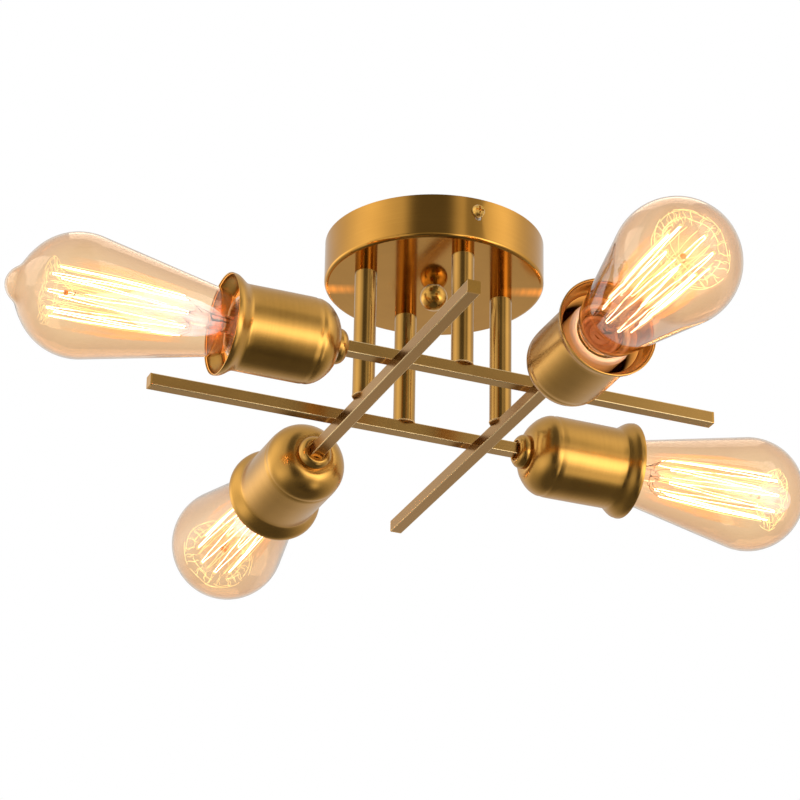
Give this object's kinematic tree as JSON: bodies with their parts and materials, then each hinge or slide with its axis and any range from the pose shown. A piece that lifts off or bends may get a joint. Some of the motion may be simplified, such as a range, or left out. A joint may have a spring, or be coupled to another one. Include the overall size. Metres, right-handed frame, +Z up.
{
  "type": "semi flush ceiling light",
  "caption": "Semi flush ceiling light: a round canopy with straight stems to crossed square bars, each ending in a flared cup with a screw-in pear-shaped bulb.",
  "frame": {"origin": "middle of the canopy on the ceiling plane, where the bracket meets the ceiling box", "axes": "+Z up into the ceiling, X along the upper pair of bars, Y along the lower pair and the bracket"},
  "size_m": [0.4951, 0.4886, 0.135],
  "materials": {
    "brushed_brass": "brushed satin",
    "polished_brass": "polished",
    "zinc_steel": "zinc plated",
    "green_screw": "gloss",
    "shell_metal": "bright",
    "white_ceramic": "glazed",
    "amber_glass": "clear amber",
    "clear_glass": "clear",
    "bulb_cap_metal": "bright",
    "bulb_contact": "glossy",
    "filament": "glowing",
    "black_wire": "satin",
    "white_wire": "satin",
    "connector_plastic": "moulded"
  },
  "bodies": {
    "fixture": {"mounting_bracket": "zinc_steel", "canopy": "brushed_brass", "canopy_screws": "polished_brass", "ground_screw": "green_screw", "finial_ball": "polished_brass", "finial_stud": "zinc_steel", "finial_nut": "zinc_steel", "stem_nipples": "zinc_steel", "stem_washers": "zinc_steel", "stem_nuts": "zinc_steel", "bar_end_plugs": "brushed_brass", "bar_nipples": "zinc_steel", "holder_nuts": "zinc_steel", "screw_shells": "shell_metal", "centre_contacts": "polished_brass", "line_wires": "black_wire", "neutral_wires": "white_wire", "wire_connectors": "connector_plastic", "stem_a1": "brushed_brass", "bar_a1": "brushed_brass", "collar_a1": "brushed_brass", "cup_a1": "brushed_brass", "lampholder_a1": "white_ceramic", "stem_a2": "brushed_brass", "bar_a2": "brushed_brass", "collar_a2": "brushed_brass", "cup_a2": "brushed_brass", "lampholder_a2": "white_ceramic", "stem_b1": "brushed_brass", "bar_b1": "brushed_brass", "collar_b1": "brushed_brass", "cup_b1": "brushed_brass", "lampholder_b1": "white_ceramic", "stem_b2": "brushed_brass", "bar_b2": "brushed_brass", "collar_b2": "brushed_brass", "cup_b2": "brushed_brass", "lampholder_b2": "white_ceramic"},
    "bulb_a1_feed": {"bulb_a1_contact": "bulb_contact"},
    "bulb_a1": {"bulb_a1_glass": "amber_glass", "bulb_a1_cap": "bulb_cap_metal", "bulb_a1_mount": "clear_glass", "bulb_a1_filament": "filament"},
    "bulb_a2_feed": {"bulb_a2_contact": "bulb_contact"},
    "bulb_a2": {"bulb_a2_glass": "amber_glass", "bulb_a2_cap": "bulb_cap_metal", "bulb_a2_mount": "clear_glass", "bulb_a2_filament": "filament"},
    "bulb_b1_feed": {"bulb_b1_contact": "bulb_contact"},
    "bulb_b1": {"bulb_b1_glass": "amber_glass", "bulb_b1_cap": "bulb_cap_metal", "bulb_b1_mount": "clear_glass", "bulb_b1_filament": "filament"},
    "bulb_b2_feed": {"bulb_b2_contact": "bulb_contact"},
    "bulb_b2": {"bulb_b2_glass": "amber_glass", "bulb_b2_cap": "bulb_cap_metal", "bulb_b2_mount": "clear_glass", "bulb_b2_filament": "filament"}
  },
  "joints": [
    {"name": "bulb_a1_travel", "type": "slide", "parent": "fixture", "child": "bulb_a1_feed", "axis": [-1, 0, 0], "range_m": [0, 0.0164]},
    {"name": "bulb_a1_turn", "type": "hinge", "parent": "bulb_a1_feed", "child": "bulb_a1", "pos_m": [-0.118, -0.04, -0.0935], "axis": [-1, 0, 0], "range_deg": [0, 1620]},
    {"name": "bulb_a2_travel", "type": "slide", "parent": "fixture", "child": "bulb_a2_feed", "axis": [1, 0, 0], "range_m": [0, 0.0164]},
    {"name": "bulb_a2_turn", "type": "hinge", "parent": "bulb_a2_feed", "child": "bulb_a2", "pos_m": [0.118, 0.04, -0.0935], "axis": [1, 0, 0], "range_deg": [0, 1620]},
    {"name": "bulb_b1_travel", "type": "slide", "parent": "fixture", "child": "bulb_b1_feed", "axis": [0, 1, 0], "range_m": [0, 0.0164]},
    {"name": "bulb_b1_turn", "type": "hinge", "parent": "bulb_b1_feed", "child": "bulb_b1", "pos_m": [-0.04, 0.118, -0.1025], "axis": [0, 1, 0], "range_deg": [0, 1620]},
    {"name": "bulb_b2_travel", "type": "slide", "parent": "fixture", "child": "bulb_b2_feed", "axis": [0, -1, 0], "range_m": [0, 0.0164]},
    {"name": "bulb_b2_turn", "type": "hinge", "parent": "bulb_b2_feed", "child": "bulb_b2", "pos_m": [0.04, -0.118, -0.1025], "axis": [0, -1, 0], "range_deg": [0, 1620]}
  ],
  "couplings": [
    {"joint": "bulb_a1_travel", "follows": "bulb_a1_turn", "m_per_rad": 0.00057757},
    {"joint": "bulb_a2_travel", "follows": "bulb_a2_turn", "m_per_rad": 0.00057757},
    {"joint": "bulb_b1_travel", "follows": "bulb_b1_turn", "m_per_rad": 0.00057757},
    {"joint": "bulb_b2_travel", "follows": "bulb_b2_turn", "m_per_rad": 0.00057757}
  ]
}
